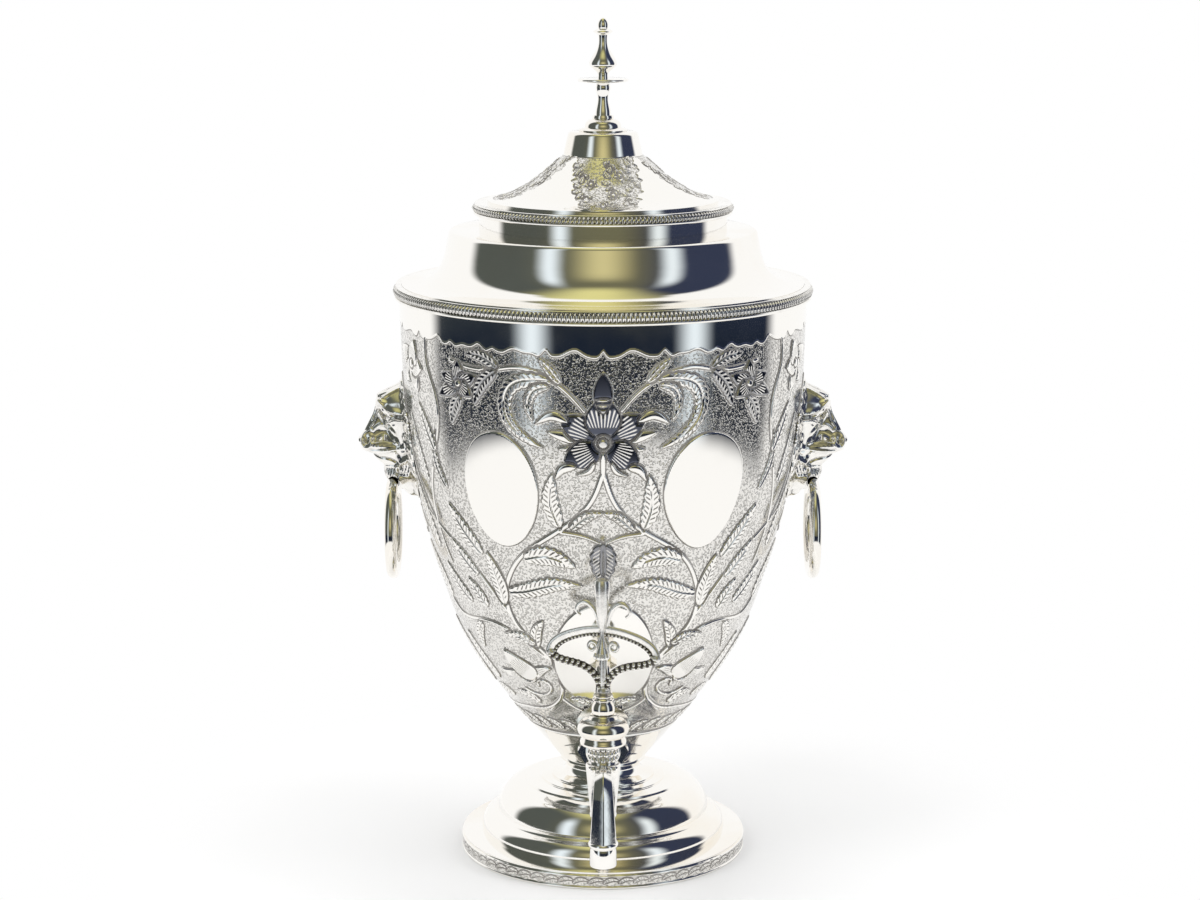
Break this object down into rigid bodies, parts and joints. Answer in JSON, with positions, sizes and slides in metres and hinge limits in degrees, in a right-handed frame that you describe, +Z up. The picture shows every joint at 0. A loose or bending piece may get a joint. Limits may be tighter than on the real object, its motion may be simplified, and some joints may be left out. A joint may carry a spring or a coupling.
{
  "type": "samovar",
  "caption": "Vase-shaped hot-water urn on a domed foot, with a lift-off lid, a plug tap, mask handles with drop rings and an iron heating core.",
  "frame": {"origin": "on the surface that the urn stands on, on the upright axis of the bowl", "axes": "+Z up along the axis of the bowl, -Y towards the tap, +X to the right when the tap faces the viewer"},
  "size_m": [0.2808, 0.2719, 0.4796],
  "materials": {
    "silver_plate": "polished silver plate over brass",
    "chased_silver": "chased silver plate with darkened grooves",
    "tinned_copper": "tinned inside, dull",
    "turned_brass": "turned, lightly tarnished",
    "cast_iron": "black, fire-scaled",
    "leather": "oiled"
  },
  "bodies": {
    "urn": {"foot_edge_band": "silver_plate", "foot_shell": "silver_plate", "foot_stem": "silver_plate", "shoulder_rim": "silver_plate", "neck_collar": "silver_plate", "mask_left": "silver_plate", "mask_right": "silver_plate", "tap_escutcheon": "silver_plate", "tap_shank": "silver_plate", "tap_union": "silver_plate", "tap_body": "silver_plate", "spout_nozzle": "silver_plate", "shoulder_shell": "silver_plate", "vase_shell": "chased_silver", "core_tube": "tinned_copper", "foot_stud": "turned_brass", "foot_washer": "turned_brass", "foot_nut": "turned_brass", "mask_studs": "turned_brass", "mask_washers": "turned_brass", "mask_nuts": "turned_brass", "tap_gasket": "leather"},
    "lid": {"lid_rim": "silver_plate", "lid_bezel": "silver_plate", "lid_shell": "chased_silver", "lid_cap": "silver_plate", "finial_base": "silver_plate", "finial_stem": "silver_plate", "finial_disc": "silver_plate", "finial_bell": "silver_plate", "finial_tip": "silver_plate", "finial_rod": "turned_brass", "finial_washer": "turned_brass", "finial_nut": "turned_brass"},
    "tap_key": {"tap_plug": "turned_brass", "plug_washer": "turned_brass", "plug_nut": "turned_brass", "tap_bonnet": "silver_plate", "handle_collar": "silver_plate", "handle_frame": "silver_plate", "handle_grip": "silver_plate"},
    "left_ring": {"ring_left": "silver_plate"},
    "right_ring": {"ring_right": "silver_plate"},
    "core_cover": {"core_cap": "tinned_copper", "core_cap_knob": "tinned_copper"},
    "core_iron": {"core_slug": "cast_iron", "slug_eye": "cast_iron"}
  },
  "joints": [
    {"name": "lid_lift", "type": "slide", "parent": "urn", "child": "lid", "axis": [0, 0, 1], "range_m": [0, 0.08]},
    {"name": "tap_turn", "type": "hinge", "parent": "urn", "child": "tap_key", "pos_m": [0, -0.124, 0.087], "axis": [0, 0, 1], "range_deg": [-75.5, 14.5]},
    {"name": "left_ring_swing", "type": "hinge", "parent": "urn", "child": "left_ring", "pos_m": [-0.1205, 0, 0.216], "axis": [0, 1, 0], "range_deg": [-20, 90]},
    {"name": "right_ring_swing", "type": "hinge", "parent": "urn", "child": "right_ring", "pos_m": [0.1205, 0, 0.216], "axis": [0, -1, 0], "range_deg": [-20, 90]},
    {"name": "core_cover_lift", "type": "slide", "parent": "urn", "child": "core_cover", "axis": [0, 0, 1], "range_m": [0, 0.04]},
    {"name": "core_iron_lift", "type": "slide", "parent": "urn", "child": "core_iron", "axis": [0, 0, 1], "range_m": [0, 0.06]}
  ]
}
